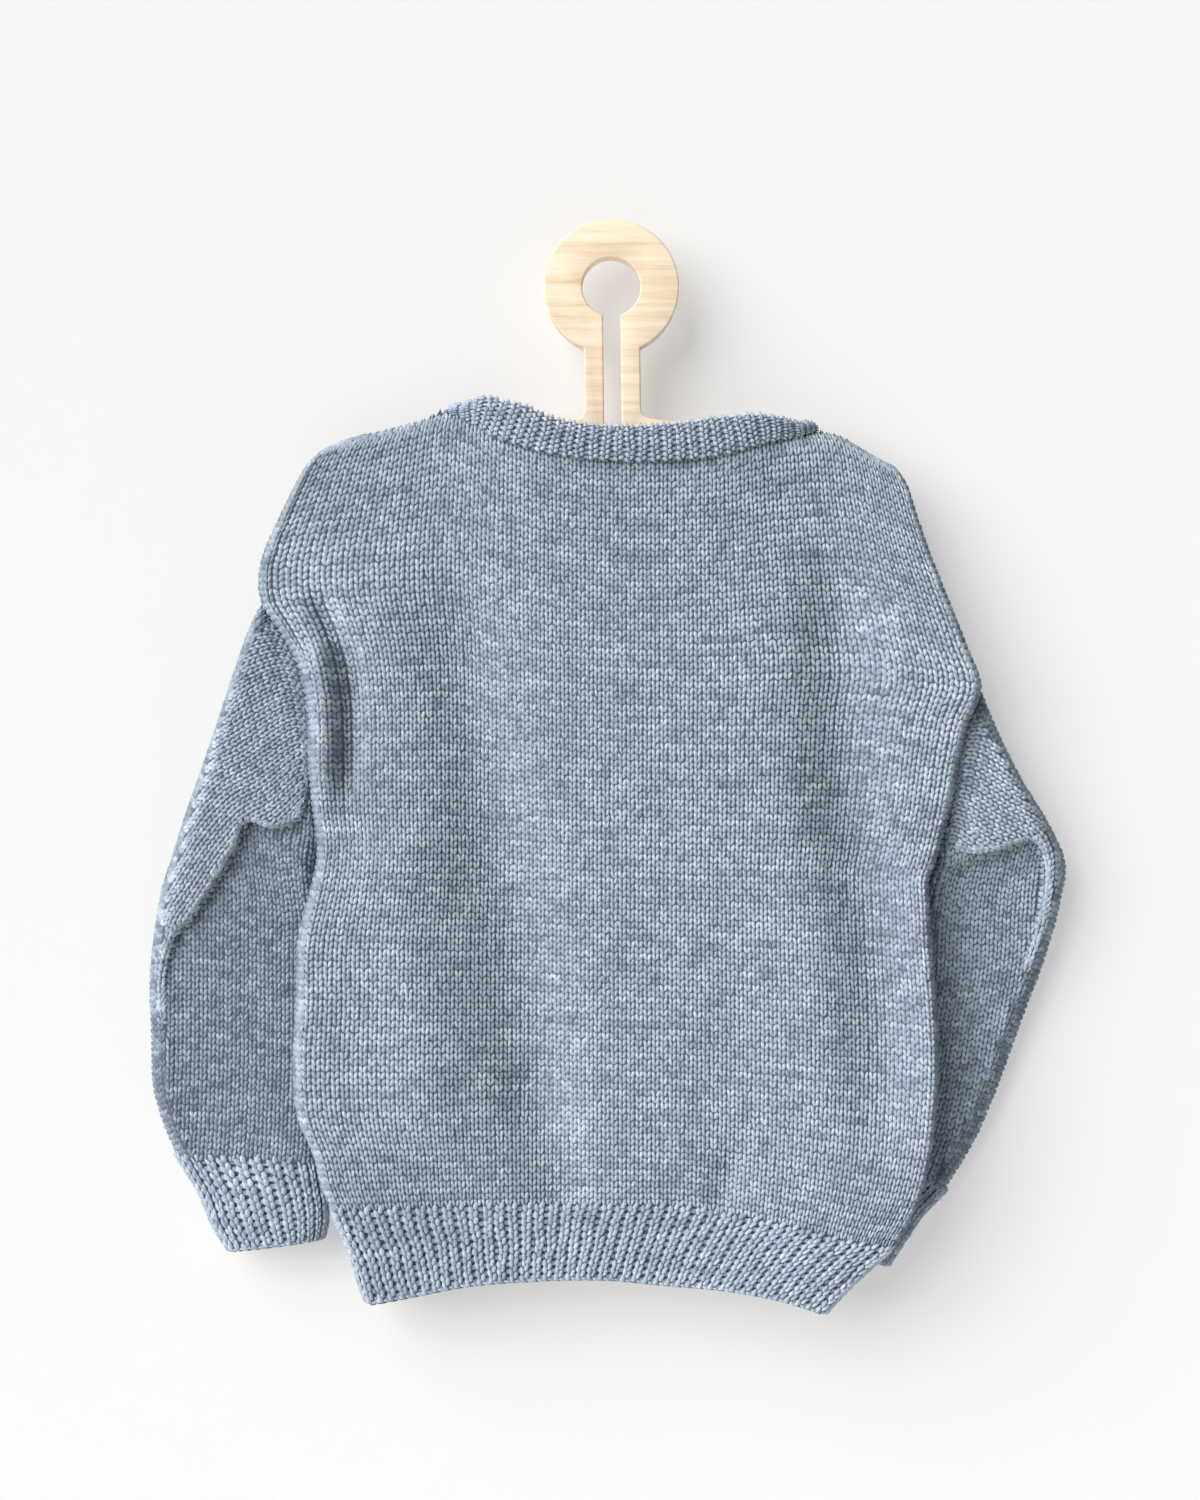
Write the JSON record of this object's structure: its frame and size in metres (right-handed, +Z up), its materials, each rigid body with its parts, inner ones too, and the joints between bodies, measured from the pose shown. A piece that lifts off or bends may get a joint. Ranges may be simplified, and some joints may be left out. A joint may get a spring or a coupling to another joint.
{
  "type": "wool sweater on a hanger",
  "caption": "Hand-knitted child's wool pullover with ribbed neck, hem and cuffs, hanging on a flat wooden board hanger with a ring.",
  "frame": {"origin": "top of the round hole in the hanger's ring, where the nail or hook carries the hanger", "axes": "+Z up, +X to the right as the sweater's back is seen, -Y from the sweater's back toward the viewer; the wall is on the +Y side"},
  "size_m": [0.4596, 0.0465, 0.5426],
  "materials": {
    "wool": "heathered blue-grey wool stockinette",
    "wool_rib": "heathered blue-grey wool, one by one rib",
    "wood": "pale plywood, sanded and clear-finished"
  },
  "bodies": {
    "root": {"back_panel": "wool", "front_panel": "wool", "sleeve_left": "wool", "sleeve_right": "wool", "hem_back": "wool_rib", "hem_front": "wool_rib", "cuff_left": "wool_rib", "cuff_right": "wool_rib", "neckband": "wool_rib", "hanger": "wood"}
  },
  "joints": []
}
